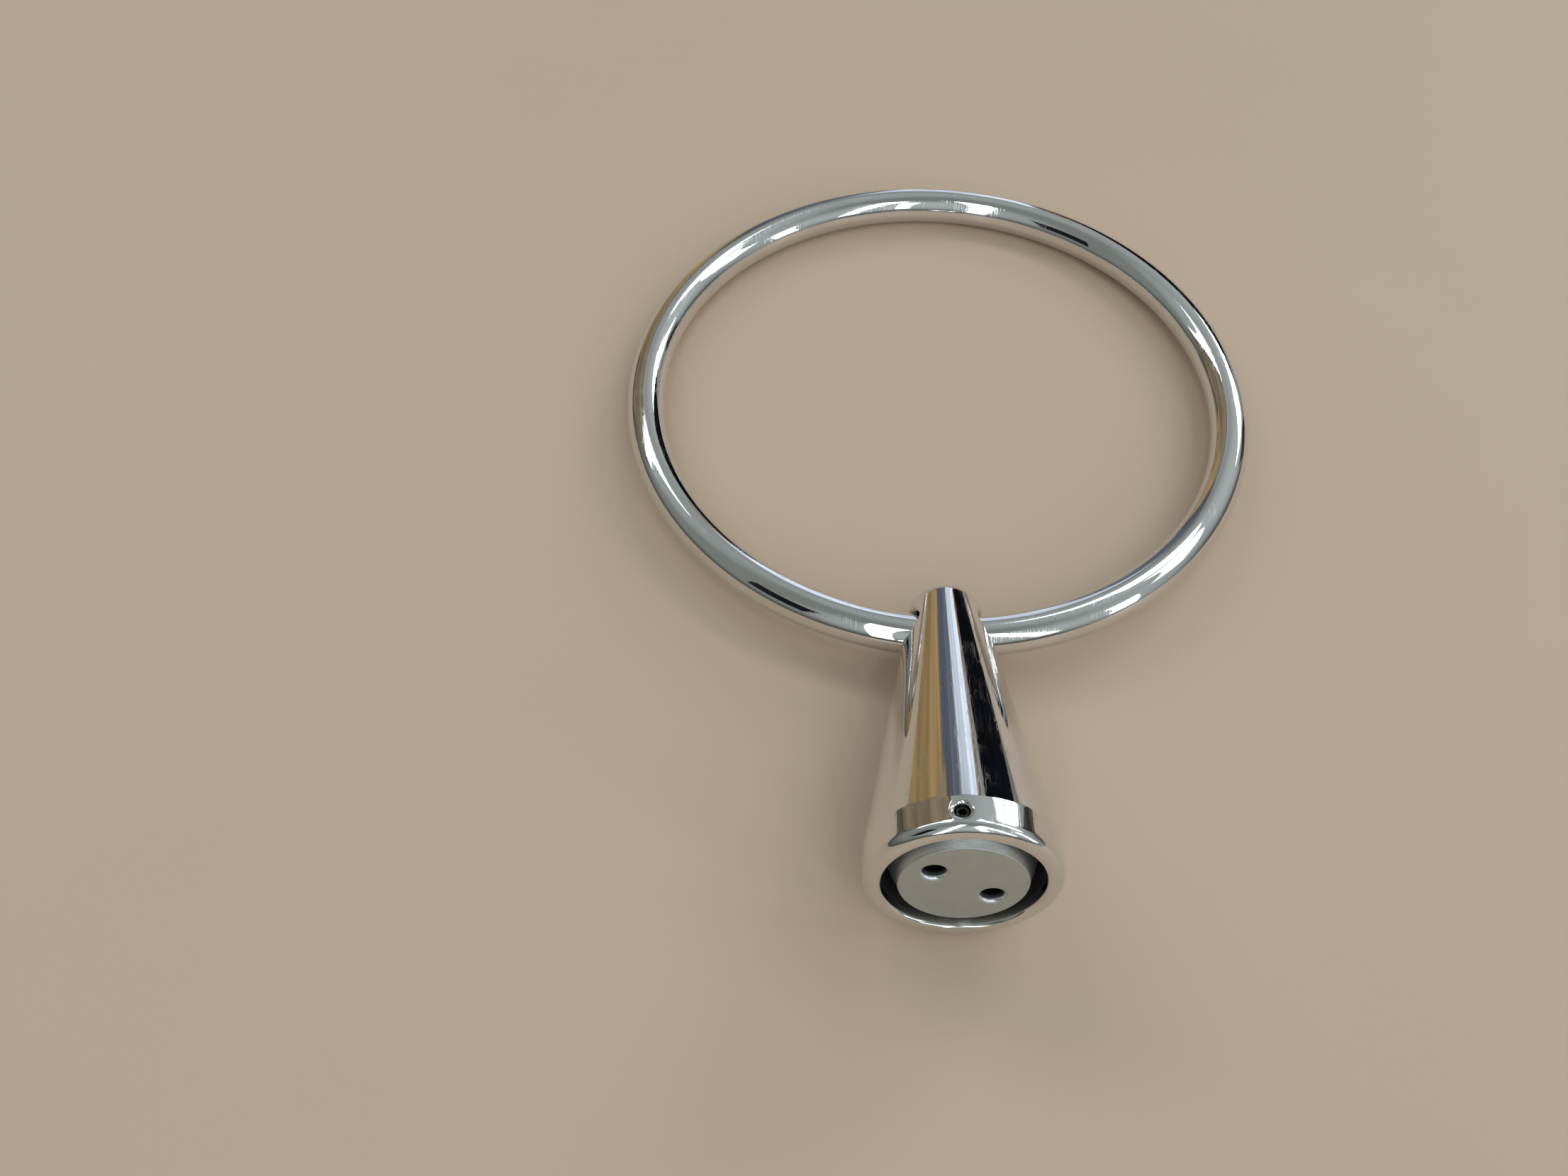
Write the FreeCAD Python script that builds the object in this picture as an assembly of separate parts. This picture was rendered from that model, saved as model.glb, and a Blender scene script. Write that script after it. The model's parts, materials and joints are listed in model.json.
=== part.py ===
import FreeCAD, Part
import math
import os

# Towel ring: a tapered post that screws to a wall, and a closed round ring that swings in a
# cross hole near the post's tip. It is drawn lying on a table: the post on the side of its
# cone, the ring swung out in line with it, its far side on the table. Millimetres.
#
# Frame: +Z up, +Y along the post from its wall end to the ring's far side, +X to the right
# as seen from the wall end. The origin is under the middle of the whole thing, on the table.

Vector = FreeCAD.Vector

# ring
ring_radius = 76.2            # centre of the ring to the centre of its tube
tube_radius = 4.75
tube_wall = 1.2
joint_gap = 0.15              # butt joint of the bent tube, hidden inside the post
dowel_clearance = 0.03
dowel_length = 14.0

# post
hole_reach = 65.5             # wall face to the cross hole
tip_reach = 11.0              # cross hole to the end of the tip
collar_radius = 20.1
collar_length = 7.7
cone_angle = 10.2             # half angle of the cone
collar_edge = 2.2             # rounded outer edge of the wall end
lip_edge = 0.8                # rounded inner edge of the wall end
break_edge = 0.6              # where the collar turns into the cone
tip_edge = 4.5
mouth_radius = 16.3
mouth_depth = 10.4
core_depth = 47.9             # cored out to here, to keep the casting's wall even
core_end_radius = 9.6
core_edge = 4.0
cross_hole_radius = 5.7
cross_hole_edge = 0.8

# mounting disc, a dovetail: narrow at the wall, wide inside the mouth
disc_face_radius = 13.0
disc_rim_radius = 15.9
disc_thickness = 8.0
disc_rim_land = 0.5
disc_recess = 0.35            # behind the wall face
disc_edge = 0.3
wall_hole_radius = 2.35
wall_hole_circle = 14.6       # diameter of the circle that the two holes lie on
wall_hole_turn = 32.6         # the row of holes is turned by this much from level
wall_hole_sink_radius = 4.2   # countersink for the screw heads, on the inner side
wall_hole_edge = 1.0

# set screw, M3 with a cone point
screw_distance = 4.6          # wall face to the screw's axis
screw_turn = 6.0              # it stands this many degrees to the left of the top
screw_hole_radius = 1.5
screw_hole_edge = 0.85        # rounded mouth of its hole, outside the collar
screw_clearance = 0.05
screw_length = 4.0
screw_tip_gap = 0.1           # between the screw's point and the disc's flank
screw_point_radius = 0.4
screw_socket_across_flats = 1.5
screw_socket_depth = 2.0
screw_edge = 0.25

rim_search = 1.5              # the middle of a hole's rim lies within this of its mouth

# how it lies on the table
post_pitch = cone_angle       # the cone's lowest line is level
wall_face = -hole_reach       # along the post's axis, from the cross hole
slope = math.tan(math.radians(cone_angle))
cone_radius_at_hole = collar_radius - (hole_reach - collar_length) * slope
hole_height = cone_radius_at_hole * math.cos(math.radians(post_pitch))
ring_dip = math.degrees(math.asin((hole_height - tube_radius) / (2 * ring_radius)))

# how far it reaches each way from the cross hole, which puts the origin in the middle
reach_ahead = 2 * ring_radius * math.cos(math.radians(ring_dip)) + tube_radius
reach_behind = (
    (hole_reach - collar_edge) * math.cos(math.radians(post_pitch))
    + (collar_radius - collar_edge) * math.sin(math.radians(post_pitch))
    + collar_edge
)
hole_place = Vector(0, (reach_behind - reach_ahead) / 2, hole_height)

origin = Vector(0, 0, 0)
along_x = Vector(1, 0, 0)
along_y = Vector(0, 1, 0)
along_z = Vector(0, 0, 1)
screw_angle = math.radians(screw_turn)
screw_line = Vector(-math.sin(screw_angle), 0, math.cos(screw_angle))


def rounded_outline(corners):
    """Closed wire through (radius, place, rounding) corners, in the plane x = radius, y = place."""
    points = [Vector(radius, place, 0) for radius, place, rounding in corners]
    edges = []
    ends = []
    for index, (radius, place, rounding) in enumerate(corners):
        here = points[index]
        back = (points[index - 1] - here).normalize()
        ahead = (points[(index + 1) % len(points)] - here).normalize()
        if rounding == 0:
            ends.append((here, here))
            continue
        half_angle = back.getAngle(ahead) / 2
        run = rounding / math.tan(half_angle)
        middle = (back + ahead).normalize()
        arc_centre = here + middle * (rounding / math.sin(half_angle))
        start = here + back * run
        finish = here + ahead * run
        edges.append(Part.Arc(start, arc_centre - middle * rounding, finish).toShape())
        ends.append((start, finish))
    for index in range(len(points)):
        leave = ends[index][1]
        arrive = ends[(index + 1) % len(points)][0]
        if leave.distanceToPoint(arrive) > 1e-6:
            edges.append(Part.LineSegment(leave, arrive).toShape())
    return Part.Wire(Part.__sortEdges__(edges))


def turned(corners):
    """Solid turned about the post's axis, +Y."""
    return Part.Face(rounded_outline(corners)).revolve(origin, along_y, 360)


def lay_post(shape):
    """Tip the post's parts about the cross hole, tip down, and set them over the table."""
    shape.rotate(origin, along_x, -post_pitch)
    shape.translate(hole_place)
    return shape


def lay_ring(shape):
    """Swing the ring's parts about the cross hole until the far side is on the table."""
    shape.rotate(origin, along_x, -ring_dip)
    shape.translate(hole_place)
    return shape


def bent_rod(profile, start_angle, sweep):
    """Sweep a profile that stands at the cross hole round the ring's centre."""
    centre = Vector(0, ring_radius, 0)
    placed = profile.copy()
    placed.rotate(centre, along_z, start_angle)
    return placed.revolve(centre, along_z, sweep)


def round_face(radius):
    return Part.Face(Part.Wire(Part.makeCircle(radius, origin, along_x)))


def make_ring():
    tube_section = round_face(tube_radius).cut(round_face(tube_radius - tube_wall))
    gap = math.degrees(joint_gap / ring_radius)
    return lay_ring(bent_rod(tube_section, gap / 2, 360 - gap))


def make_ring_dowel():
    dowel_section = round_face(tube_radius - tube_wall - dowel_clearance)
    sweep = math.degrees(dowel_length / ring_radius)
    return lay_ring(bent_rod(dowel_section, -sweep / 2, sweep))


def make_post():
    """Hollow casting: collar, cone and rounded tip, with the cross hole and the set screw's hole."""
    tip_radius = cone_radius_at_hole - tip_reach * slope
    body = turned([
        (mouth_radius, wall_face, lip_edge),
        (collar_radius, wall_face, collar_edge),
        (collar_radius, wall_face + collar_length, break_edge),
        (tip_radius, tip_reach, tip_edge),
        (0, tip_reach, 0),
        (0, wall_face + core_depth, 0),
        (core_end_radius, wall_face + core_depth, core_edge),
        (mouth_radius, wall_face + mouth_depth, core_edge),
    ])
    left = Vector(-cone_radius_at_hole, 0, 0)
    right = Vector(cone_radius_at_hole, 0, 0)
    cross_hole = Part.makeCylinder(cross_hole_radius, 4 * collar_radius, 2 * left, along_x)
    body = round_rims(body.cut(cross_hole), [left, right], cross_hole_edge)
    foot = Vector(0, wall_face + screw_distance, 0)
    screw_hole = Part.makeCylinder(screw_hole_radius, 2 * collar_radius, foot, screw_line)
    body = round_rims(body.cut(screw_hole), [foot + screw_line * collar_radius], screw_hole_edge)
    return lay_post(body)


def round_rims(body, mouths, rounding):
    """Round the edges whose middles lie near the mouths of a drilled hole."""
    rims = []
    for edge in body.Edges:
        middle = edge.CenterOfMass
        if min(middle.distanceToPoint(mouth) for mouth in mouths) < rim_search:
            rims.append(edge)
    return body.makeFillet(rounding, rims)


def make_mounting_disc():
    face = wall_face + disc_recess
    back = face + disc_thickness
    disc = turned([
        (0, face, 0),
        (disc_face_radius, face, disc_edge),
        (disc_rim_radius, back - disc_rim_land, 0),
        (disc_rim_radius, back, 0),
        (0, back, 0),
    ])
    for side in (-1, 1):
        disc = disc.cut(wall_screw_hole(side, face, back))
    return lay_post(disc)


def wall_screw_hole(side, face, back):
    """Hole with a rounded mouth at the wall and a countersink on the inner side."""
    turn = math.radians(wall_hole_turn)
    reach = side * wall_hole_circle / 2
    sink_depth = wall_hole_sink_radius - wall_hole_radius
    drill = turned([
        (0, face - wall_hole_edge, 0),
        (wall_hole_radius + wall_hole_edge, face - wall_hole_edge, 0),
        (wall_hole_radius + wall_hole_edge, face, 0),
        (wall_hole_radius, face + wall_hole_edge, 0),
        (wall_hole_radius, back - sink_depth, 0),
        (wall_hole_sink_radius, back, 0),
        (wall_hole_sink_radius, back + wall_hole_edge, 0),
        (0, back + wall_hole_edge, 0),
    ])
    drill.translate(Vector(reach * math.cos(turn), 0, -reach * math.sin(turn)))
    return drill


def make_set_screw():
    """Cone point towards the disc's flank, hexagon socket outwards."""
    flank_slope = (disc_rim_radius - disc_face_radius) / (disc_thickness - disc_rim_land)
    flank_radius = disc_face_radius + (screw_distance - disc_recess) * flank_slope
    radius = screw_hole_radius - screw_clearance
    point = radius - screw_point_radius
    screw = turned([
        (0, 0, 0),
        (screw_point_radius, 0, 0),
        (radius, point, 0),
        (radius, screw_length - screw_edge, 0),
        (radius - screw_edge, screw_length, 0),
        (0, screw_length, 0),
    ])
    screw.rotate(origin, along_x, 90)
    corner_radius = screw_socket_across_flats / math.sqrt(3)
    corners = []
    for step in range(7):
        angle = math.radians(60 * step)
        corners.append(Vector(corner_radius * math.cos(angle), corner_radius * math.sin(angle),
                              screw_length - screw_socket_depth))
    socket = Part.Face(Part.makePolygon(corners)).extrude(along_z * screw_length)
    screw = screw.cut(socket)
    tip_height = flank_radius + screw_point_radius * flank_slope + screw_tip_gap
    screw.translate(Vector(0, wall_face + screw_distance, tip_height))
    screw.rotate(origin, along_y, -screw_turn)
    return lay_post(screw)


parts = {
    "post": make_post(),
    "ring": make_ring(),
    "ring_dowel": make_ring_dowel(),
    "mounting_disc": make_mounting_disc(),
    "set_screw": make_set_screw(),
}

os.makedirs("parts", exist_ok=True)
for name, shape in parts.items():
    solids = shape.Solids
    if len(solids) != 1 or not shape.isValid():
        raise RuntimeError(f"{name}: {len(solids)} solids, valid {shape.isValid()}")
    solids[0].exportStep(f"parts/{name}.step")
    box = solids[0].BoundBox
    print(f"{name}: {solids[0].Volume:.0f} mm3, "
          f"x {box.XMin:.2f}..{box.XMax:.2f}, y {box.YMin:.2f}..{box.YMax:.2f}, "
          f"z {box.ZMin:.2f}..{box.ZMax:.2f}")
print(f"cross hole at y {hole_place.y:.3f}, z {hole_place.z:.3f}, ring dips {ring_dip:.3f} degrees")
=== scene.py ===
import json
import math

import bmesh
import bpy
from mathutils import Matrix, Vector


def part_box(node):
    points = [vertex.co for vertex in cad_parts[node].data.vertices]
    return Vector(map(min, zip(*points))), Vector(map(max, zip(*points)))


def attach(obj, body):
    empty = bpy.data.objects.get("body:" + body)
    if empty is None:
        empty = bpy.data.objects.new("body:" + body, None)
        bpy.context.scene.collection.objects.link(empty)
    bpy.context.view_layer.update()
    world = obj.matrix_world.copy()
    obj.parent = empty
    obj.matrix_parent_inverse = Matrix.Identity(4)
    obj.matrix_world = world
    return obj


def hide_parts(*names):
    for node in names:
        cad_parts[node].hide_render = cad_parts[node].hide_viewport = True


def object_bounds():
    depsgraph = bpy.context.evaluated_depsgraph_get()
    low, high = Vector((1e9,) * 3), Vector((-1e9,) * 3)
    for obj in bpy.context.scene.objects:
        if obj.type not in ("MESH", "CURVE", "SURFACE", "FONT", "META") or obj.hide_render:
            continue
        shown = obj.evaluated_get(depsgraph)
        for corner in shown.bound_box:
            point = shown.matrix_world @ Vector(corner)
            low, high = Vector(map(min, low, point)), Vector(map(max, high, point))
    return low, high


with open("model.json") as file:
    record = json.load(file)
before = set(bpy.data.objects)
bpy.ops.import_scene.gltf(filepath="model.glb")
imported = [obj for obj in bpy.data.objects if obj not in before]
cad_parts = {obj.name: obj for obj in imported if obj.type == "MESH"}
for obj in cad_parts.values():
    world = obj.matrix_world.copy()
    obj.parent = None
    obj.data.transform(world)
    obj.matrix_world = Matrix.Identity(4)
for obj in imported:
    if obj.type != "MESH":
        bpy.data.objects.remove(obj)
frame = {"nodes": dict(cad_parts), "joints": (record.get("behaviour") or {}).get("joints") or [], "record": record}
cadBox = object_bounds()
print("frame loaded:", sorted(frame["nodes"]))

mm = 0.001

# Places that the frame gives: where the ring swings, how the post lies, where the screw stands.
joints = {joint["name"]: joint for joint in frame["joints"]}
mounts = {mount["name"]: mount for mount in frame["record"]["mounts"]}
holeSpot = Vector(joints["ring_swing"]["pos_m"])
wallward = Vector(joints["disc_release"]["axis"])
postPlace = Matrix.Translation(holeSpot) @ Matrix.Rotation(-math.atan2(wallward.z, -wallward.y), 4, "X")
intoPost = postPlace.inverted()
wallFace = (intoPost @ Vector(mounts["wall_face"]["pos_m"])).y  # along the post, from the cross hole
screwOut = intoPost.to_3x3() @ Vector(joints["set_screw_travel"]["axis"])
screwAngle = math.atan2(screwOut.z, screwOut.x)  # round the post, from its right side


def facingOut(angle):  # from the post's axis, and the way round it to the side of that
    return Vector((math.cos(angle), 0, math.sin(angle))), Vector((-math.sin(angle), 0, math.cos(angle)))


class Skin:  # points and faces of one piece, in the piece's own axes
    def __init__(self):
        self.points = []
        self.faces = []

    def loop(self, points):
        first = len(self.points)
        self.points.extend(points)
        return list(range(first, len(self.points)))

    def bridge(self, near, far):  # quads between two closed loops of the same count
        for k in range(len(near)):
            n = (k + 1) % len(near)
            self.faces.append((near[k], near[n], far[n], far[k]))

    def chain(self, loops):
        for near, far in zip(loops, loops[1:]):
            self.bridge(near, far)

    def straight(self, near, far, steps):  # straight wall between two loops, in even steps
        wall = [near]
        for n in range(1, steps):
            pairs = zip(near, far)
            wall.append(self.loop([self.points[a].lerp(self.points[b], n / steps) for a, b in pairs]))
        wall.append(far)
        self.chain(wall)

    def fan(self, loop, point):
        top = self.loop([point])[0]
        for k in range(len(loop)):
            self.faces.append((loop[k], loop[(k + 1) % len(loop)], top))

    def piece(self, name, place, body, finish, crease=35):
        mesh = bpy.data.meshes.new(name)
        mesh.from_pydata([place @ point for point in self.points], [], self.faces)
        work = bmesh.new()
        work.from_mesh(mesh)
        bmesh.ops.delete(work, geom=[v for v in work.verts if not v.link_faces], context="VERTS")
        bmesh.ops.recalc_face_normals(work, faces=work.faces)
        work.to_mesh(mesh)
        work.free()
        mesh.shade_smooth()
        mesh.set_sharp_from_angle(angle=math.radians(crease))
        mesh.materials.append(finish)
        made = bpy.data.objects.new(name, mesh)
        bpy.context.scene.collection.objects.link(made)
        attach(made, body)
        return made


def outline(corners, step, arcSteps):
    # (radius, place, rounding) corners to an open row of (radius, place) points, evenly stepped
    spots = [Vector((radius, place)) for radius, place, rounding in corners]
    row = [spots[0]]
    for k in range(1, len(spots)):
        arc = [spots[k]]
        if k < len(spots) - 1 and corners[k][2] > 0:
            back = (spots[k - 1] - spots[k]).normalized()
            ahead = (spots[k + 1] - spots[k]).normalized()
            half = back.angle(ahead) / 2
            run = corners[k][2] / math.tan(half)
            centre = spots[k] + (back + ahead).normalized() * (corners[k][2] / math.sin(half))
            start = (spots[k] + back * run - centre).normalized()
            finish = (spots[k] + ahead * run - centre).normalized()
            count = max(2, round(arcSteps * start.angle(finish) / (math.pi / 2)))
            arc = [centre + start.slerp(finish, n / count) * corners[k][2] for n in range(count + 1)]
        begin = row[-1]
        lengths = max(1, round((arc[0] - begin).length / step))
        for n in range(1, lengths):
            row.append(begin.lerp(arc[0], n / lengths))
        row.extend(arc)
    return row


class Turning:  # a turned surface about +Y, with square gaps left where holes come through
    def __init__(self, skin, row, columns):
        self.skin = skin
        self.row = row
        self.columns = columns
        self.corners = {}
        self.gaps = []

    def angle(self, column):
        return 2 * math.pi * column / self.columns

    def at(self, place, angle):  # place counts along the row, and may fall between two points
        k = min(int(place), len(self.row) - 2)
        radius, along = self.row[k].lerp(self.row[k + 1], place - k)
        return Vector((radius * math.cos(angle), along, radius * math.sin(angle)))

    def corner(self, k, column):
        column = 0 if self.row[k].x < 1e-9 else column % self.columns
        if (k, column) not in self.corners:
            self.corners[k, column] = self.skin.loop([self.at(k, self.angle(column))])[0]
        return self.corners[k, column]

    def find(self, low, high, pick, value):  # place along the row where radius (0) or height (1) is value
        for k in range(low, high):
            a, b = self.row[k][pick], self.row[k + 1][pick]
            if min(a, b) <= value <= max(a, b) and a != b:
                return k + (value - a) / (b - a)
        return low if abs(self.row[low][pick] - value) < abs(self.row[high][pick] - value) else high

    def open(self, ahead, behind, column, half, rim, turn=1, steps=6):
        # leaves a gap between two rows, and fills it down to the closed curve rim(bearing)
        self.gaps.append((min(ahead, behind), max(ahead, behind), column, half))
        side = 1 if behind > ahead else -1
        path = [(ahead, column + turn * n) for n in range(half)]
        path += [(k, column + turn * half) for k in range(ahead, behind, side)]
        path += [(behind, column + turn * (half - n)) for n in range(2 * half)]
        path += [(k, column - turn * half) for k in range(behind, ahead, -side)]
        path += [(ahead, column + turn * (n - half)) for n in range(half)]
        loops = [[self.corner(k, c) for k, c in path]]
        bearings = [2 * math.pi * n / len(path) for n in range(len(path))]
        ends = [rim(bearing) for bearing in bearings]
        for step in range(1, steps + 1):
            share = step / steps
            points = []
            for (k, c), (place, angle) in zip(path, ends):
                start = self.angle(c)
                points.append(self.at(k + (place - k) * share, start + (angle - start) * share))
            loops.append(self.skin.loop(points))
        self.skin.chain(loops)
        return loops[-1], bearings

    def close(self):
        for k in range(len(self.row) - 1):
            for column in range(self.columns):
                if any(self.inside(gap, k, column) for gap in self.gaps):
                    continue
                square = [self.corner(k, column), self.corner(k, column + 1),
                          self.corner(k + 1, column + 1), self.corner(k + 1, column)]
                self.skin.faces.append(tuple(dict.fromkeys(square)))

    def inside(self, gap, k, column):
        low, high, middle, half = gap
        offset = (column - middle + half) % self.columns
        return low <= k < high and offset < 2 * half


def roundedMouth(skin, first, centres, outward, inward, rounding, steps=8):
    # a quarter round from the surface into a hole, about the given centres
    loops = [first]
    for n in range(1, steps + 1):
        points = []
        for centre, start, finish in zip(centres, outward, inward):
            points.append(centre + start.slerp(finish, n / steps) * rounding)
        loops.append(skin.loop(points))
    skin.chain(loops)
    return loops[-1]


class Wire:  # one socket of a finish; arithmetic on it adds Math nodes
    def __init__(self, finish, socket):
        self.finish = finish
        self.socket = socket

    def maths(self, operation, first, second):
        return self.finish.node("Math", {"operation": operation}, {0: first, 1: second})

    def __add__(self, other):
        return self.maths("ADD", self, other)

    def __radd__(self, other):
        return self.maths("ADD", other, self)

    def __sub__(self, other):
        return self.maths("SUBTRACT", self, other)

    def __rsub__(self, other):
        return self.maths("SUBTRACT", other, self)

    def __mul__(self, other):
        return self.maths("MULTIPLY", self, other)

    def __rmul__(self, other):
        return self.maths("MULTIPLY", other, self)

    def __pow__(self, other):
        return self.maths("POWER", self, other)

    def __rpow__(self, other):
        return self.maths("POWER", other, self)


class Finish:  # a material or a sky being made; place is the piece's own axes
    def __init__(self, name, place=None, kind="materials"):
        self.place = place
        self.made = getattr(bpy.data, kind).new(name)
        self.made.use_nodes = True
        self.tree = self.made.node_tree
        self.tree.nodes.clear()

    def node(self, kind, settings=None, sockets=None, out=0):
        added = self.tree.nodes.new("ShaderNode" + kind)
        for key, value in (settings or {}).items():
            setattr(added, key, value)
        for key, value in (sockets or {}).items():
            if isinstance(value, Wire):
                self.tree.links.new(value.socket, added.inputs[key])
            else:
                added.inputs[key].default_value = value
        return Wire(self, added.outputs[out]) if added.outputs else None

    def where(self):  # a place in the piece's own axes
        spot = self.node("TexCoord", out="Object")
        if self.place is None:
            return spot
        shift, turn, size = self.place.decompose()
        return self.node("Mapping", {"vector_type": "TEXTURE"},
                         {"Vector": spot, "Location": shift, "Rotation": turn.to_euler()})

    def split(self, spot):  # a place as its three values
        parts = self.node("SeparateXYZ", None, {0: spot})
        return [Wire(self, socket) for socket in parts.socket.node.outputs]

    def roundPost(self):  # distance from the post's axis, and place along it
        across, along, up = self.split(self.where())
        return (across * across + up * up) ** 0.5, along

    def noise(self, scale, detail=3.0, vector=None, rough=0.5):
        sockets = {"Vector": vector or self.where(), "Scale": scale, "Detail": detail, "Roughness": rough}
        return self.node("TexNoise", None, sockets)

    def lines(self, value, scale, detail):  # noise along one value, as a lathe tool leaves it
        return self.node("TexNoise", {"noise_dimensions": "1D"},
                         {"W": value, "Scale": scale, "Detail": detail})

    def stretched(self, x, y, z, turn=(0, 0, 0)):
        return self.node("Mapping", None, {"Vector": self.where(), "Scale": (x, y, z), "Rotation": turn})

    def between(self, value, low, high):  # 0 below low, 1 above high
        return self.node("MapRange", {"interpolation_type": "SMOOTHSTEP"}, {0: value, 1: low, 2: high})

    def offMiddle(self, value):  # how far a value is from a half
        return self.node("Math", {"operation": "ABSOLUTE"}, {0: value - 0.5})

    def larger(self, first, second):
        return self.node("Math", {"operation": "MAXIMUM"}, {0: first, 1: second})

    def blend(self, mask, first, second):
        return self.node("Mix", {"data_type": "RGBA"}, {0: mask, 6: first, 7: second}, out=2)

    def bump(self, height, strength, distance, normal=None):
        sockets = {"Height": height, "Strength": strength, "Distance": distance}
        if normal:
            sockets["Normal"] = normal
        return self.node("Bump", None, sockets)

    def surface(self, **sockets):
        named = {key.replace("_", " "): value for key, value in sockets.items()}
        shader = self.node("BsdfPrincipled", None, named)
        self.node("OutputMaterial", None, {0: shader})
        return self.made


def shade(red, green, blue):
    return (red, green, blue, 1.0)


def scaled(colour, red, green, blue):
    return shade(colour[0] * red, colour[1] * green, colour[2] * blue)


chromeLook = {
    "colour": shade(0.76, 0.765, 0.755),
    "haze": shade(0.68, 0.68, 0.66),     # where it has been handled
    "hazeShare": 0.5,
    "roughness": 0.035,
    "handledRoughness": 0.13,
    "scratchRoughness": 0.16,
    "handledScale": 55,
    "handledRange": (0.48, 0.72),
    "cloudScale": 260,
    "cloudRange": (0.42, 0.68),
    "scratchScale": 900,
    "scratchTurns": (0.3, 1.4, 2.6),     # the ways that hairlines run
    "scratchStretch": 0.06,
    "scratchWidth": 0.012,
    "scratchStrength": 0.05,
    "scratchDepth": 0.04 * mm,
    "patchScale": 90,                    # hairlines come in patches
    "patchRange": (0.45, 0.62),
    "waviness": 0.035,                   # slow unevenness under the plating
    "waveScale": 120,
    "waveDepth": 0.25 * mm,
}


def fineScratches(finish):  # 1 along thin broken hairlines, 0 elsewhere
    look = chromeLook
    thin = look["scratchStretch"]
    marks = None
    for turn in look["scratchTurns"]:
        spot = finish.stretched(1.0, thin, thin, (turn, turn * 0.7, turn))
        hairlines = finish.noise(look["scratchScale"], 1.0, spot)
        near = 1 - finish.between(finish.offMiddle(hairlines), 0.0, look["scratchWidth"])
        marks = near if marks is None else finish.larger(marks, near)
    return marks


def chrome(name, place, inner=None):
    look = chromeLook
    finish = Finish(name, place)
    handled = finish.between(finish.noise(look["handledScale"], 5.0, rough=0.6), *look["handledRange"])
    cloud = finish.between(finish.noise(look["cloudScale"]), *look["cloudRange"])
    patches = finish.between(finish.noise(look["patchScale"], 2.0), *look["patchRange"])
    scratches = fineScratches(finish) * patches
    roughness = look["roughness"] + handled * cloud * look["handledRoughness"]
    roughness = roughness + scratches * look["scratchRoughness"]
    colour = finish.blend(handled * look["hazeShare"], look["colour"], look["haze"])
    wave = finish.bump(finish.noise(look["waveScale"], 1.0), look["waviness"], look["waveDepth"])
    normal = finish.bump(scratches, look["scratchStrength"], look["scratchDepth"], wave)
    if inner is not None:
        dull = inner(finish)
        grain = finish.noise(castingLook["grainScale"])
        rough = castingLook["roughness"] + castingLook["grainRoughness"] * grain
        colour = finish.blend(dull, colour, castingLook["colour"])
        roughness = roughness * (1 - dull) + dull * rough
        normal = finish.bump(grain * dull, castingLook["grainStrength"], castingLook["grainDepth"], normal)
    return finish.surface(Base_Color=colour, Metallic=1.0, Roughness=roughness, Normal=normal)


postShape = {
    "collarRadius": 20.1 * mm,
    "collarLength": 7.7 * mm,
    "tipReach": 11.0 * mm,
    "coneAngle": math.radians(10.2),
    "collarEdge": 2.2 * mm,
    "breakEdge": 0.6 * mm,
    "tipEdge": 4.5 * mm,
    "lipEdge": 0.8 * mm,
    "mouthRadius": 16.3 * mm,
    "mouthDepth": 10.4 * mm,
    "coreDepth": 47.9 * mm,
    "coreEndRadius": 9.6 * mm,
    "coreEdge": 4.0 * mm,
    "crossHole": 5.7 * mm,
    "crossHoleEdge": 0.8 * mm,
    "screwDistance": 4.6 * mm,
    "screwHole": 1.5 * mm,
    "screwHoleEdge": 0.85 * mm,
    "columns": 240,
    "step": 0.37 * mm,
    "arcSteps": 12,
    "crossAhead": 8.2 * mm,              # the mesh is laid anew between these, round the cross hole
    "crossBehind": -8.6 * mm,
    "crossColumns": 36,
    "crossWallSteps": 24,
    "screwRows": 9,                      # and this many rows and columns each way, round the screw's
    "screwColumns": 8,
    "screwWallSteps": 8,
}

castingLook = {                          # the inside of the post, which took little plating
    "colour": shade(0.17, 0.175, 0.165),
    "roughness": 0.32,
    "grainRoughness": 0.2,
    "grainScale": 2600,
    "grainStrength": 0.3,
    "grainDepth": 0.06 * mm,
    "plateEnds": (1.2 * mm, 2.8 * mm),   # behind the wall face
    "coreMargin": 1.0 * mm,              # past the core's end
    "boreMargins": (0.1 * mm, 0.4 * mm),  # past the mouth's radius
    "skinMargins": (-2.2 * mm, -1.8 * mm),  # under the outer skin
}


def coneRadius(along):  # the cone's outer radius at a place along the post
    slope = math.tan(postShape["coneAngle"])
    return postShape["collarRadius"] - (along - wallFace - postShape["collarLength"]) * slope


def insideOfPost(finish):  # 1 inside the mouth and the core, 0 on the lip and outside
    radius, depth = finish.roundPost()
    near, far = castingLook["boreMargins"]
    inBore = 1 - finish.between(radius, postShape["mouthRadius"] + near, postShape["mouthRadius"] + far)
    start, end = castingLook["plateEnds"]
    deep = finish.between(depth, wallFace + start, wallFace + end)
    coreEnd = wallFace + postShape["coreDepth"]
    short = 1 - finish.between(depth, coreEnd, coreEnd + castingLook["coreMargin"])
    away = 1 - finish.between(radius - coneRadius(depth), *castingLook["skinMargins"])
    return inBore * deep * short * away


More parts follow.
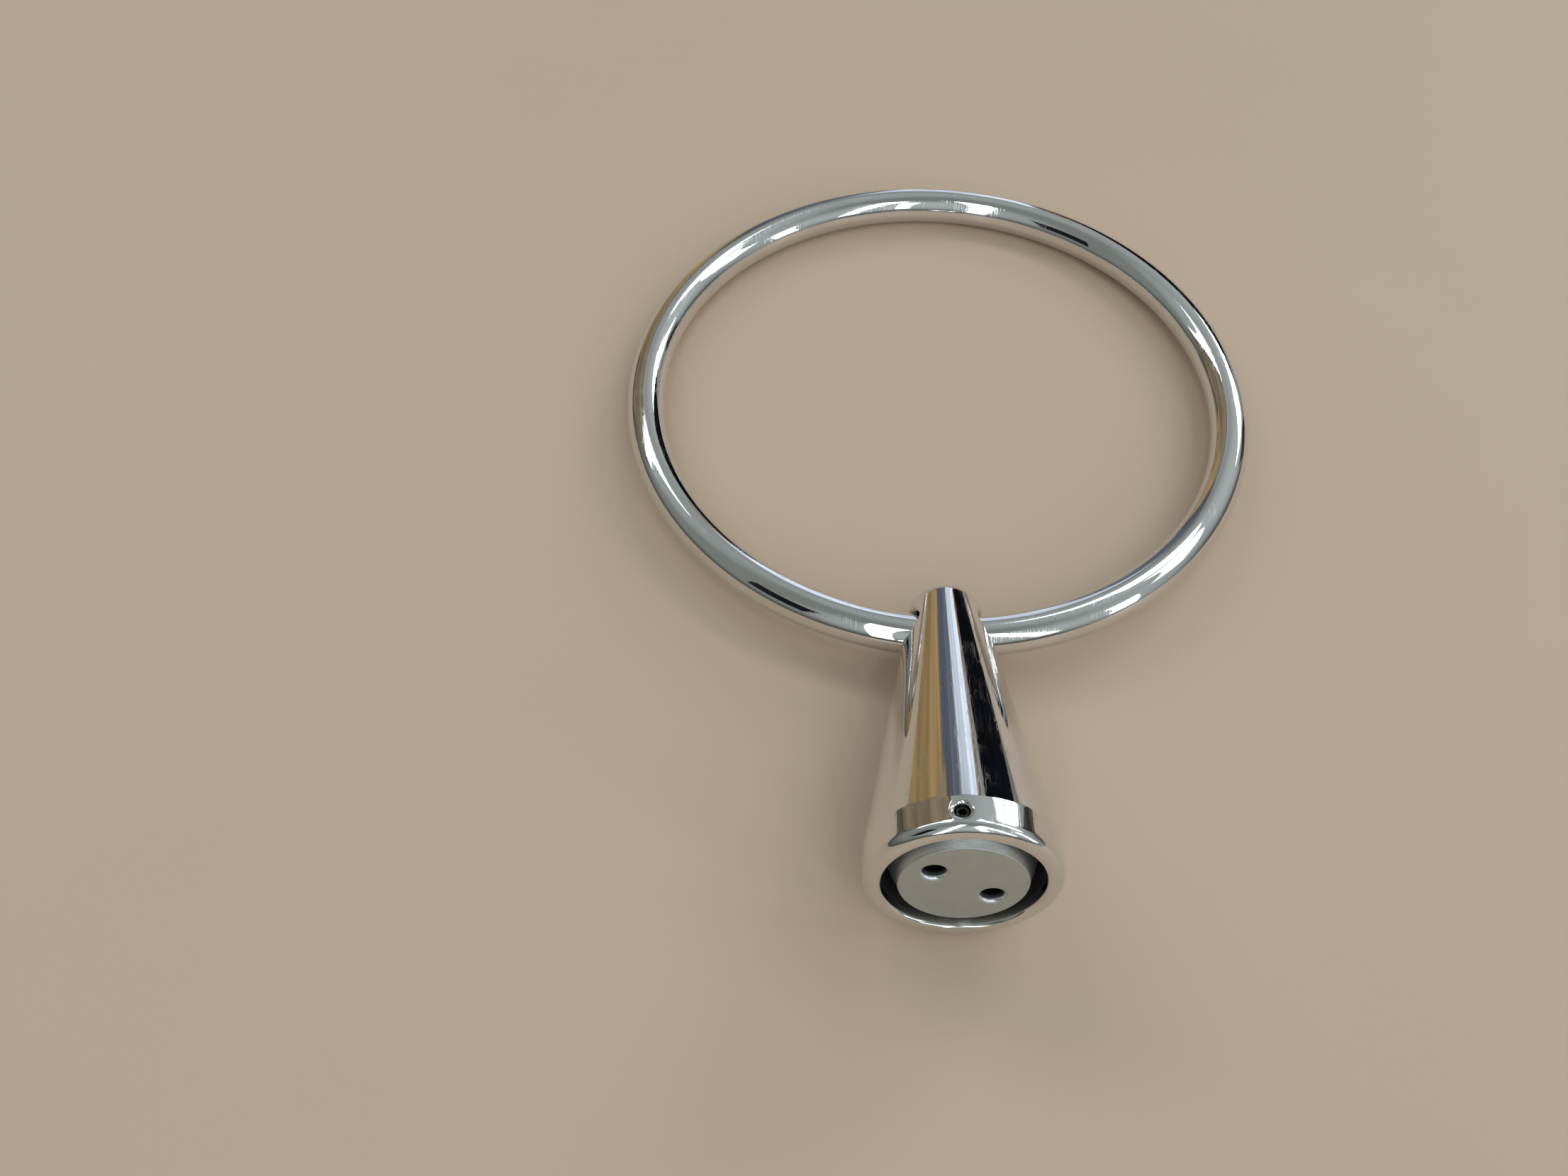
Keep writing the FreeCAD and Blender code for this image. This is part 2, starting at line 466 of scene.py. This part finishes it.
def makePost():
    shape = postShape
    tip = shape["tipReach"]
    skin = Skin()
    row = outline([
        (0, tip, 0),
        (coneRadius(tip), tip, shape["tipEdge"]),
        (shape["collarRadius"], wallFace + shape["collarLength"], shape["breakEdge"]),
        (shape["collarRadius"], wallFace, shape["collarEdge"]),
        (shape["mouthRadius"], wallFace, shape["lipEdge"]),
        (shape["mouthRadius"], wallFace + shape["mouthDepth"], shape["coreEdge"]),
        (shape["coreEndRadius"], wallFace + shape["coreDepth"], shape["coreEdge"]),
        (0, wallFace + shape["coreDepth"], 0),
    ], shape["step"], shape["arcSteps"])
    turning = Turning(skin, row, shape["columns"])
    lip = min(range(len(row)), key=lambda k: row[k].y)  # first row of the wall face
    cutCrossHole(skin, turning, lip)
    cutScrewHole(skin, turning, lip)
    turning.close()
    finish = chrome("postChrome", postPlace, insideOfPost)
    made = skin.piece("chromed_post", postPlace, "post", finish)
    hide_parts("post")
    return made


def cutCrossHole(skin, turning, lip):  # both mouths rounded, joined by the hole's wall
    shape = postShape
    lean = shape["coneAngle"]
    edge = shape["crossHoleEdge"]
    reach = shape["crossHole"] + edge
    mouths = []
    for side, column in ((1, 0), (-1, shape["columns"] // 2)):
        facing = 0 if side == 1 else math.pi

        def centreAt(bearing):
            along = reach * math.cos(bearing)
            lateral = reach * math.sin(bearing)
            inner = coneRadius(along) - edge / math.cos(lean)
            return along, lateral, math.sqrt(inner ** 2 - lateral ** 2)

        def rim(bearing):
            along, lateral, out = centreAt(bearing)
            turned = side * math.atan2(lateral, out)
            return turning.find(1, lip, 1, along + edge * math.sin(lean)), facing + turned

        ahead = round(turning.find(1, lip, 1, shape["crossAhead"]))
        behind = round(turning.find(1, lip, 1, shape["crossBehind"]))
        loop, bearings = turning.open(ahead, behind, column, shape["crossColumns"], rim, side)
        centres = []
        outward = []
        inward = []
        for bearing in bearings:
            along, lateral, out = centreAt(bearing)
            centres.append(Vector((side * out, along, lateral)))
            across = Vector((side * out, 0, lateral)).normalized() * math.cos(lean)
            outward.append(across + Vector((0, math.sin(lean), 0)))
            inward.append(Vector((0, -math.cos(bearing), -math.sin(bearing))))
        mouths.append(roundedMouth(skin, loop, centres, outward, inward, edge))
    skin.straight(*mouths, shape["crossWallSteps"])


def cutScrewHole(skin, turning, lip):  # rounded outside, sharp where it breaks into the mouth
    shape = postShape
    rows = shape["screwRows"]
    column = round(screwAngle / (2 * math.pi) * shape["columns"])
    centre = wallFace + shape["screwDistance"]
    out, beside = facingOut(screwAngle)
    edge = shape["screwHoleEdge"]
    reach = shape["screwHole"] + edge
    inner = shape["collarRadius"] - edge

    def outerRim(bearing):
        turned = math.asin(reach * math.sin(bearing) / inner)
        return turning.find(1, lip, 1, centre + reach * math.cos(bearing)), screwAngle + turned

    middle = round(turning.find(1, lip, 1, centre))
    loop, bearings = turning.open(middle - rows, middle + rows, column, shape["screwColumns"], outerRim)
    centres = []
    outward = []
    inward = []
    for bearing in bearings:
        lateral = reach * math.sin(bearing)
        height = math.sqrt(inner ** 2 - lateral ** 2)
        forward = Vector((0, math.cos(bearing), 0))
        centres.append(out * height + beside * lateral + forward * reach + Vector((0, centre, 0)))
        outward.append((out * height + beside * lateral).normalized())
        inward.append(-forward - beside * math.sin(bearing))
    upper = roundedMouth(skin, loop, centres, outward, inward, edge)
    last = len(turning.row) - 1

    def innerRim(bearing):
        turned = math.asin(shape["screwHole"] * math.sin(bearing) / shape["mouthRadius"])
        place = turning.find(lip + 1, last, 1, centre + shape["screwHole"] * math.cos(bearing))
        return place, screwAngle + turned

    middle = round(turning.find(lip + 1, last, 1, centre))
    lower, bearings = turning.open(middle + rows, middle - rows, column, shape["screwColumns"], innerRim)
    skin.straight(upper, lower, shape["screwWallSteps"])


post = makePost()
print("post:", len(post.data.polygons), "faces")


ringShape = {
    "tubeRadius": 4.75 * mm,
    "tubeWall": 1.2 * mm,
    "jointGap": 0.15 * mm,               # the butt joint, hidden in the post
    "stations": 384,
    "around": 56,
}


def makeRing():
    shape = ringShape
    low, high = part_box("ring")
    centreRadius = (high.x - low.x) / 2 - shape["tubeRadius"]
    dip = math.asin((holeSpot.z - shape["tubeRadius"]) / (2 * centreRadius))
    place = Matrix.Translation(holeSpot) @ Matrix.Rotation(-dip, 4, "X")
    gap = shape["jointGap"] / centreRadius
    skin = Skin()
    walls = []
    for radius in (shape["tubeRadius"], shape["tubeRadius"] - shape["tubeWall"]):
        loops = []
        for n in range(shape["stations"] + 1):
            angle = -math.pi / 2 + gap / 2 + (2 * math.pi - gap) * n / shape["stations"]
            out = Vector((math.cos(angle), math.sin(angle), 0))
            middle = Vector((0, centreRadius, 0)) + out * centreRadius
            points = []
            for k in range(shape["around"]):
                swing = 2 * math.pi * k / shape["around"]
                up = Vector((0, 0, radius * math.sin(swing)))
                points.append(middle + out * (radius * math.cos(swing)) + up)
            loops.append(skin.loop(points))
        skin.chain(loops)
        walls.append(loops)
    outer, inner = walls
    skin.bridge(outer[0], inner[0])
    skin.bridge(outer[-1], inner[-1])
    made = skin.piece("chromed_ring", place, "ring", chrome("ringChrome", place))
    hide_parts("ring")
    return made


ring = makeRing()
print("ring:", len(ring.data.polygons), "faces")


discShape = {
    "faceRadius": 13.0 * mm,
    "rimRadius": 15.9 * mm,
    "thickness": 8.0 * mm,
    "rimLand": 0.5 * mm,
    "recess": 0.35 * mm,
    "edge": 0.3 * mm,
    "rimEdge": 0.25 * mm,
    "backEdge": 0.2 * mm,
    "holeRadius": 2.35 * mm,
    "holeEdge": 1.0 * mm,
    "holeDistance": 7.3 * mm,            # from the disc's middle
    "holeTurn": 32.6,                    # degrees from level
    "sinkRadius": 4.2 * mm,
    "columns": 144,
    "step": 0.5 * mm,
    "arcSteps": 8,
    "holeRows": 9,                       # the mesh is laid anew this far each way round a hole
    "holeColumns": 16,
    "holeSteps": 8,
    "wallSteps": 8,
    "sinkSteps": 4,
}

discLook = {
    "face": (shade(0.46, 0.50, 0.49), shade(0.58, 0.615, 0.60)),
    "flank": (shade(0.62, 0.66, 0.68), shade(0.86, 0.89, 0.90)),
    # near black: painted shade on the walls of the wall-screw holes
    "holes": shade(0.05, 0.052, 0.05),
    "metallic": 0.9,
    "faceRoughness": (0.46, 0.12),       # least, and what the unevenness adds
    "flankRoughness": (0.2, 0.1),
    "grainScale": 5200,
    "mottleScale": 420,
    "ringsScale": 9000.0,                # turning marks, round the face and down the flank
    "turnedScale": 7000.0,
    "relief": (0.7, 0.3, 0.8, 0.1),      # grain, mottle, turning marks on the flank and on the face
    "reliefStrength": 0.35,
    "reliefDepth": 0.05 * mm,
    "faceEnds": (0.47 * mm, 0.75 * mm),  # behind the wall face
    "holesWithin": (11.5 * mm, 12.5 * mm),  # from the disc's middle; the painted shade darkens everything this close to the middle, the hole walls among it
    "holesFrom": (1.4 * mm, 2.4 * mm),   # behind the wall face, where the painted shade in the holes starts, so that the rounding stays bright
}


def discMetal():
    look = discLook
    finish = Finish("discMetal", postPlace)
    radius, depth = finish.roundPost()
    facing = 1 - finish.between(depth, *(wallFace + end for end in look["faceEnds"]))
    grain = finish.noise(look["grainScale"], 4.0, rough=0.65)
    mottle = finish.noise(look["mottleScale"], 4.0, rough=0.6)
    rings = finish.lines(radius, look["ringsScale"], 2.0)
    turned = finish.lines(depth, look["turnedScale"], 3.0)
    faceColour = finish.blend(mottle, *look["face"])
    flankColour = finish.blend(turned, *look["flank"])
    colour = finish.blend(facing, flankColour, faceColour)
    # painted shade: near black on the hole walls and all else this close to the middle, deeper than the rounded
    # rims
    holeShade = 1 - finish.between(radius, *look["holesWithin"])
    holeShade = holeShade * finish.between(depth, *(wallFace + end for end in look["holesFrom"]))
    colour = finish.blend(holeShade, colour, look["holes"])
    least, more = look["faceRoughness"]
    roughness = facing * (least + more * mottle)
    least, more = look["flankRoughness"]
    roughness = roughness + (1 - facing) * (least + more * turned)
    grainShare, mottleShare, flankShare, ringsShare = look["relief"]
    relief = facing * (grain * grainShare + mottle * mottleShare)
    relief = relief + (1 - facing) * turned * flankShare + facing * rings * ringsShare
    normal = finish.bump(relief, look["reliefStrength"], look["reliefDepth"])
    return finish.surface(Base_Color=colour, Metallic=look["metallic"], Roughness=roughness, Normal=normal)


def makeDisc():
    shape = discShape
    face = wallFace + shape["recess"]
    back = face + shape["thickness"]
    skin = Skin()
    row = outline([
        (0, face, 0),
        (shape["faceRadius"], face, shape["edge"]),
        (shape["rimRadius"], back - shape["rimLand"], shape["rimEdge"]),
        (shape["rimRadius"], back, shape["backEdge"]),
        (0, back, 0),
    ], shape["step"], shape["arcSteps"])
    turning = Turning(skin, row, shape["columns"])
    for side in (0, 1):
        angle = math.radians(180 - shape["holeTurn"] + 180 * side)
        cutWallHole(skin, turning, angle, face, back)
    turning.close()
    made = skin.piece("dovetail_disc", postPlace, "disc", discMetal(), 30)
    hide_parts("mounting_disc")
    return made


def cutWallHole(skin, turning, angle, face, back):  # rounded at the wall, countersunk on the inner side
    shape = discShape
    row = turning.row
    widest = max(range(len(row)), key=lambda k: row[k].x)
    last = len(row) - 1
    column = round(angle / (2 * math.pi) * shape["columns"])
    rows = shape["holeRows"]
    edge = shape["holeEdge"]
    hole = shape["holeRadius"]
    sink = shape["sinkRadius"]
    out, beside = facingOut(angle)

    def spotOf(reach, bearing):
        return shape["holeDistance"] + reach * math.cos(bearing), reach * math.sin(bearing)

    def rimOf(reach, low, high):
        def rim(bearing):
            forward, lateral = spotOf(reach, bearing)
            place = turning.find(low, high, 0, math.hypot(forward, lateral))
            return place, angle + math.atan2(lateral, forward)
        return rim

    def circle(reach, height, bearings):
        points = []
        for bearing in bearings:
            forward, lateral = spotOf(reach, bearing)
            points.append(out * forward + beside * lateral + Vector((0, height, 0)))
        return points

    middle = round(turning.find(0, widest, 0, shape["holeDistance"]))
    loop, bearings = turning.open(middle + rows, middle - rows, column, shape["holeColumns"],
                                  rimOf(hole + edge, 0, widest), 1, shape["holeSteps"])
    centres = circle(hole + edge, face + edge, bearings)
    outward = [Vector((0, -1, 0))] * len(bearings)
    inward = [-(out * math.cos(bearing) + beside * math.sin(bearing)) for bearing in bearings]
    front = roundedMouth(skin, loop, centres, outward, inward, edge)
    middle = round(turning.find(widest, last, 0, shape["holeDistance"]))
    rear, bearings = turning.open(middle - rows, middle + rows, column, shape["holeColumns"],
                                  rimOf(sink, widest, last), 1, shape["holeSteps"])
    neck = skin.loop(circle(hole, back - (sink - hole), bearings))
    skin.straight(front, neck, shape["wallSteps"])
    skin.straight(neck, rear, shape["sinkSteps"])


disc = makeDisc()
print("mounting disc:", len(disc.data.polygons), "faces")


screwShape = {
    "radius": 1.45 * mm,
    "thread": 0.2 * mm,
    "pitch": 0.5 * mm,
    "length": 4.0 * mm,
    "pointRadius": 0.4 * mm,
    "edge": 0.25 * mm,
    "socketFlats": 1.5 * mm,
    "socketDepth": 2.0 * mm,
    "socketEdge": 0.06 * mm,
    "socketCone": 0.35 * mm,
    "columns": 48,
    "rows": 96,
}

screwLook = {
    "black": shade(0.035, 0.035, 0.038),
    "worn": shade(0.11, 0.108, 0.105),
    "wornScale": 1500,
    "wornRange": (0.45, 0.65),
    "roughness": 0.34,
    "grainRoughness": 0.16,
    "grainScale": 6000,
    "grainStrength": 0.3,
    "grainDepth": 0.03 * mm,
}


def screwSteel():
    look = screwLook
    finish = Finish("screwSteel")
    worn = finish.between(finish.noise(look["wornScale"], 4.0), *look["wornRange"])
    grain = finish.noise(look["grainScale"])
    colour = finish.blend(worn, look["black"], look["worn"])
    roughness = look["roughness"] + look["grainRoughness"] * grain
    normal = finish.bump(grain, look["grainStrength"], look["grainDepth"])
    return finish.surface(Base_Color=colour, Metallic=1.0, Roughness=roughness, Normal=normal)


def makeSetScrew():
    shape = screwShape
    low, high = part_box("set_screw")
    middle = intoPost @ ((low + high) / 2)
    out = facingOut(screwAngle)[0]
    foot = out * (middle.dot(out) - shape["length"] / 2) + Vector((0, middle.y, 0))
    upright = out.to_track_quat("Z", "Y").to_matrix().to_4x4()
    place = postPlace @ Matrix.Translation(foot) @ upright
    skin = Skin()
    angles = [2 * math.pi * k / shape["columns"] for k in range(shape["columns"])]

    def ringOf(radiusAt, height):
        points = []
        for angle in angles:
            radius = radiusAt(angle)
            points.append(Vector((radius * math.cos(angle), radius * math.sin(angle), height)))
        return skin.loop(points)

    def threaded(height):
        def radiusAt(angle):
            phase = (height / shape["pitch"] - angle / (2 * math.pi)) % 1
            cut = shape["thread"] * abs(2 * phase - 1)
            point = shape["pointRadius"] + height
            end = shape["radius"] - shape["edge"] + (shape["length"] - height)
            return min(shape["radius"] - cut, point, end)
        return radiusAt

    def hexagon(angle):
        turn = (angle + math.pi / 6) % (math.pi / 3) - math.pi / 6
        return shape["socketFlats"] / 2 / math.cos(turn)

    loops = []
    for n in range(shape["rows"] + 1):
        height = shape["length"] * n / shape["rows"]
        loops.append(ringOf(threaded(height), height))
    bottom = shape["length"] - shape["socketDepth"]
    loops.append(ringOf(lambda angle: hexagon(angle) + shape["socketEdge"], shape["length"]))
    loops.append(ringOf(hexagon, shape["length"] - shape["socketEdge"]))
    loops.append(ringOf(hexagon, bottom))
    skin.chain(loops)
    skin.fan(loops[0], Vector((0, 0, 0)))
    skin.fan(loops[-1], Vector((0, 0, bottom - shape["socketCone"])))
    made = skin.piece("grub_screw", place, "screw", screwSteel(), 40)
    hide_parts("set_screw")
    return made


screw = makeSetScrew()
print("set screw:", len(screw.data.polygons), "faces")


dowelLook = {                            # the dowel inside the ring's joint
    "deeper": shade(0.32, 0.31, 0.29),
    "paler": shade(0.44, 0.43, 0.41),
    "roughness": 0.28,
    "drawnRoughness": 0.2,
    "drawnScale": 2600,
    "drawnStretch": 0.2,
    "drawnStrength": 0.25,
    "drawnDepth": 0.04 * mm,
}


def dowelSteel():
    look = dowelLook
    finish = Finish("dowelSteel")
    drawn = finish.noise(look["drawnScale"], 3.0, finish.stretched(look["drawnStretch"], 1.0, 1.0))
    colour = finish.blend(drawn, look["deeper"], look["paler"])
    roughness = look["roughness"] + look["drawnRoughness"] * drawn
    normal = finish.bump(drawn, look["drawnStrength"], look["drawnDepth"])
    return finish.surface(Base_Color=colour, Metallic=1.0, Roughness=roughness, Normal=normal)


dowel = frame["nodes"]["ring_dowel"]
dowel.data.materials.clear()
dowel.data.materials.append(dowelSteel())
print("ring dowel finished")


studio = {
    "floorColour": shade(0.68, 0.515, 0.385),
    "floorDeeper": (0.94, 0.935, 0.92),  # share of the floor's colour, in slow patches
    "floorPatchScale": 9,
    "floorGrainScale": 700,
    "floorRoughness": 0.48,
    "floorGrainRoughness": 0.1,
    "floorGrainStrength": 0.08,
    "floorGrainDepth": 0.2 * mm,
    "floorRadius": 15.0,
    "floorGap": 0.02 * mm,               # under the lowest point
    "ceiling": shade(0.225, 0.24, 0.228),
    "ceilingFrom": 0.4,                  # height where the horizon's dark has gone
    "glow": shade(0.52, 0.57, 0.58),     # the ceiling close to a softbox
    "glowReach": (34, 8),                # degrees from the middle of a softbox
    "glowShare": 0.5,
    "horizon": shade(0.085, 0.08, 0.07),
    "backdrop": shade(0.50, 0.42, 0.34),
    "aim": Vector((0, 0, 0.01)),
    "distance": 5.0,
    "lightColour": (0.93, 0.97, 1.0),
    # Each reaches from one direction to another: compass (0 beyond the ring, 90 to the right) and
    # height in degrees, twice, then how wide it looks in degrees, its brightness and its panes.
    "softboxes": {
        "farLeft": (-60, 27, -22, 51, 13, 3.2, 3),
        "farRight": (17, 51, 50, 54, 9, 3.0, 3),
        "farRightEnd": (56, 52, 94, 34, 11, 3.0, 4),
        "right": (30, 30, 54, 23, 14, 3.6, 2),
        "sideRight": (112, 36, 120, 8, 9, 3.0, 3),
        "behindRight": (150, 66, 143, 16, 7, 3.2, 5),
        "behind": (163, 58, 165, 18, 5, 3.2, 3),
        "behindLeft": (-160, 80, -167, 10, 7, 3.0, 4),
    },
    "paneGap": 0.1,                      # share of a pane's length
    "paneDim": 0.35,                     # every second pane is dimmer by this share
    "cardDistance": 4.65,
    "cards": {                           # what stands round the table, dark or pale
        "dark": (15.5, 13, 38, 3, 32, shade(0.005, 0.006, 0.009)),
        "pale": (0, 12, 14, 13, 30, shade(0.85, 0.95, 1.12)),
        "slate": (-13, 10, -1, 12, 36, shade(0.13, 0.145, 0.19)),
        "tan": (-42, 5, -14, 10, 26, shade(0.36, 0.245, 0.115)),
        "tanWall": (-62, 14, -15, 34, 24, shade(0.24, 0.19, 0.125)),
        "amberEdge": (14.5, 15, 16, 15, 24, shade(0.30, 0.15, 0.06)),
        "olive": (54, 3, 63, 3, 26, shade(0.05, 0.046, 0.032)),
        "darkBehind": (-140, 38, -117, 36, 24, shade(0.012, 0.013, 0.017)),
    },
    "foldScale": 3.2,
    "foldStretch": (1.6, 0.35, 1.0),
    "foldRange": (0.36, 0.64),
    "foldShades": (0.72, 1.2),           # share of a card's colour
    "borderStart": (0.42, 0.49),         # from a card's middle, along it
    "footHeight": 0.12,
    "footShare": 0.6,
    "borderShare": 0.75,
    "borderShade": 0.2,
}

cameraView = {
    "sensor": 36,
    "lens": 30.6,
    "nearest": 0.01,
    "place": (-0.03325, -0.20496, 0.27317),
    "turn": (33.196, -0.2, 1.851),
}


def outAt(compass, height):
    c, h = math.radians(compass), math.radians(height)
    return Vector((math.sin(c) * math.cos(h), math.cos(c) * math.cos(h), math.sin(h)))


def makeFloor():
    finish = Finish("floorPaint")
    patches = finish.noise(studio["floorPatchScale"], 4.0)
    grain = finish.noise(studio["floorGrainScale"])
    pale = studio["floorColour"]
    colour = finish.blend(patches, scaled(pale, *studio["floorDeeper"]), pale)
    roughness = studio["floorRoughness"] + studio["floorGrainRoughness"] * grain
    normal = finish.bump(grain, studio["floorGrainStrength"], studio["floorGrainDepth"])
    mesh = bpy.data.meshes.new("floor")
    work = bmesh.new()
    bmesh.ops.create_circle(work, cap_ends=True, segments=96, radius=studio["floorRadius"])
    work.to_mesh(mesh)
    work.free()
    mesh.materials.append(finish.surface(Base_Color=colour, Roughness=roughness, Normal=normal))
    floor = bpy.data.objects.new("floor", mesh)
    bpy.context.scene.collection.objects.link(floor)
    floor.location.z = cadBox[0].z - studio["floorGap"]


def hang(thing, start, end, reach):
    # turns a flat thing to the table, its long side from one direction to the other; gives its length
    first = outAt(*start) * reach
    second = outAt(*end) * reach
    middle = (first + second) / 2
    along = (second - first).normalized()
    out = middle.normalized()
    out = (out - along * out.dot(along)).normalized()
    up = out.cross(along)
    turn = Matrix((along, up, out)).transposed().to_4x4()
    thing.matrix_world = Matrix.Translation(studio["aim"] + middle) @ turn
    thing.visible_camera = False
    return (second - first).length


def widthOf(degrees, reach):
    return 2 * reach * math.tan(math.radians(degrees) / 2)


def makeSoftbox(name, compass, height, endCompass, endHeight, width, brightness, panes):
    def along(share):
        return compass + (endCompass - compass) * share, height + (endHeight - height) * share

    reach = studio["distance"]
    gap = studio["paneGap"] / 2
    for pane in range(panes):
        light = bpy.data.lights.new(name, "AREA")
        lamp = bpy.data.objects.new(name, light)
        bpy.context.scene.collection.objects.link(lamp)
        light.shape = "RECTANGLE"
        light.color = studio["lightColour"]
        light.size = hang(lamp, along((pane + gap) / panes), along((pane + 1 - gap) / panes), reach)
        light.size_y = widthOf(width, reach)
        strength = brightness * (1 - studio["paneDim"] * (pane % 2))
        light.energy = strength * math.pi * light.size * light.size_y


def cardPaint(name, colour):  # uneven along the card, and darker at its borders
    finish = Finish(name + "Card")
    place = finish.node("TexCoord", out="Generated")
    along, up = finish.split(place)[:2]
    spot = finish.node("Mapping", None, {"Vector": place, "Scale": studio["foldStretch"]})
    folds = finish.between(finish.noise(studio["foldScale"], 3.0, spot), *studio["foldRange"])
    deeper, paler = (scaled(colour, share, share, share) for share in studio["foldShades"])
    paint = finish.blend(folds, deeper, paler)
    border = finish.between(finish.offMiddle(along), *studio["borderStart"])
    foot = 1 - finish.between(up, 0.0, studio["footHeight"])
    border = finish.larger(border, foot * studio["footShare"]) * studio["borderShare"]
    paint = finish.blend(border, paint, scaled(colour, *[studio["borderShade"]] * 3))
    glow = finish.node("Emission", None, {"Color": paint, "Strength": 1.0})
    finish.node("OutputMaterial", None, {0: glow})
    return finish.made


def makeCard(name, compass, height, endCompass, endHeight, width, colour):
    mesh = bpy.data.meshes.new(name + "Card")
    card = bpy.data.objects.new(name + "Card", mesh)
    bpy.context.scene.collection.objects.link(card)
    reach = studio["cardDistance"]
    x = hang(card, (compass, height), (endCompass, endHeight), reach) / 2
    y = widthOf(width, reach) / 2
    mesh.from_pydata([(-x, -y, 0), (x, -y, 0), (x, y, 0), (-x, y, 0)], [], [(0, 1, 2, 3)])
    mesh.materials.append(cardPaint(name, colour))
    card.visible_diffuse = False
    card.visible_shadow = False


def makeAir():
    finish = Finish("air", kind="worlds")
    out = finish.node("TexCoord", out="Generated")
    height = finish.split(out)[2]
    risen = finish.between(height, 0.0, studio["ceilingFrom"])
    colour = finish.blend(risen, studio["horizon"], studio["ceiling"])
    wide, near = (math.cos(math.radians(angle)) for angle in studio["glowReach"])
    for compass, low, endCompass, endHeight, *rest in studio["softboxes"].values():
        middle = outAt((compass + endCompass) / 2, (low + endHeight) / 2)
        facing = finish.node("VectorMath", {"operation": "DOT_PRODUCT"}, {0: out, 1: middle}, out="Value")
        lit = finish.between(facing, wide, near) * studio["glowShare"]
        colour = finish.blend(lit, colour, studio["glow"])
    seen = finish.node("LightPath", out="Is Camera Ray")  # plain past the floor's edge, in low views
    sky = finish.node("Background", None, {"Color": finish.blend(seen, colour, studio["backdrop"])})
    finish.node("OutputWorld", None, {0: sky})
    bpy.context.scene.world = finish.made


def makeCamera():
    data = bpy.data.cameras.new("camera")
    data.sensor_width = cameraView["sensor"]
    data.lens = cameraView["lens"]
    data.clip_start = cameraView["nearest"]
    camera = bpy.data.objects.new("camera", data)
    bpy.context.scene.collection.objects.link(camera)
    camera.location = cameraView["place"]
    camera.rotation_euler = [math.radians(angle) for angle in cameraView["turn"]]
    bpy.context.scene.camera = camera


makeFloor()
for name, facts in studio["softboxes"].items():
    makeSoftbox(name, *facts)
for name, facts in studio["cards"].items():
    makeCard(name, *facts)
makeAir()
makeCamera()
bpy.context.scene.view_settings.view_transform = "Standard"
print("studio ready")
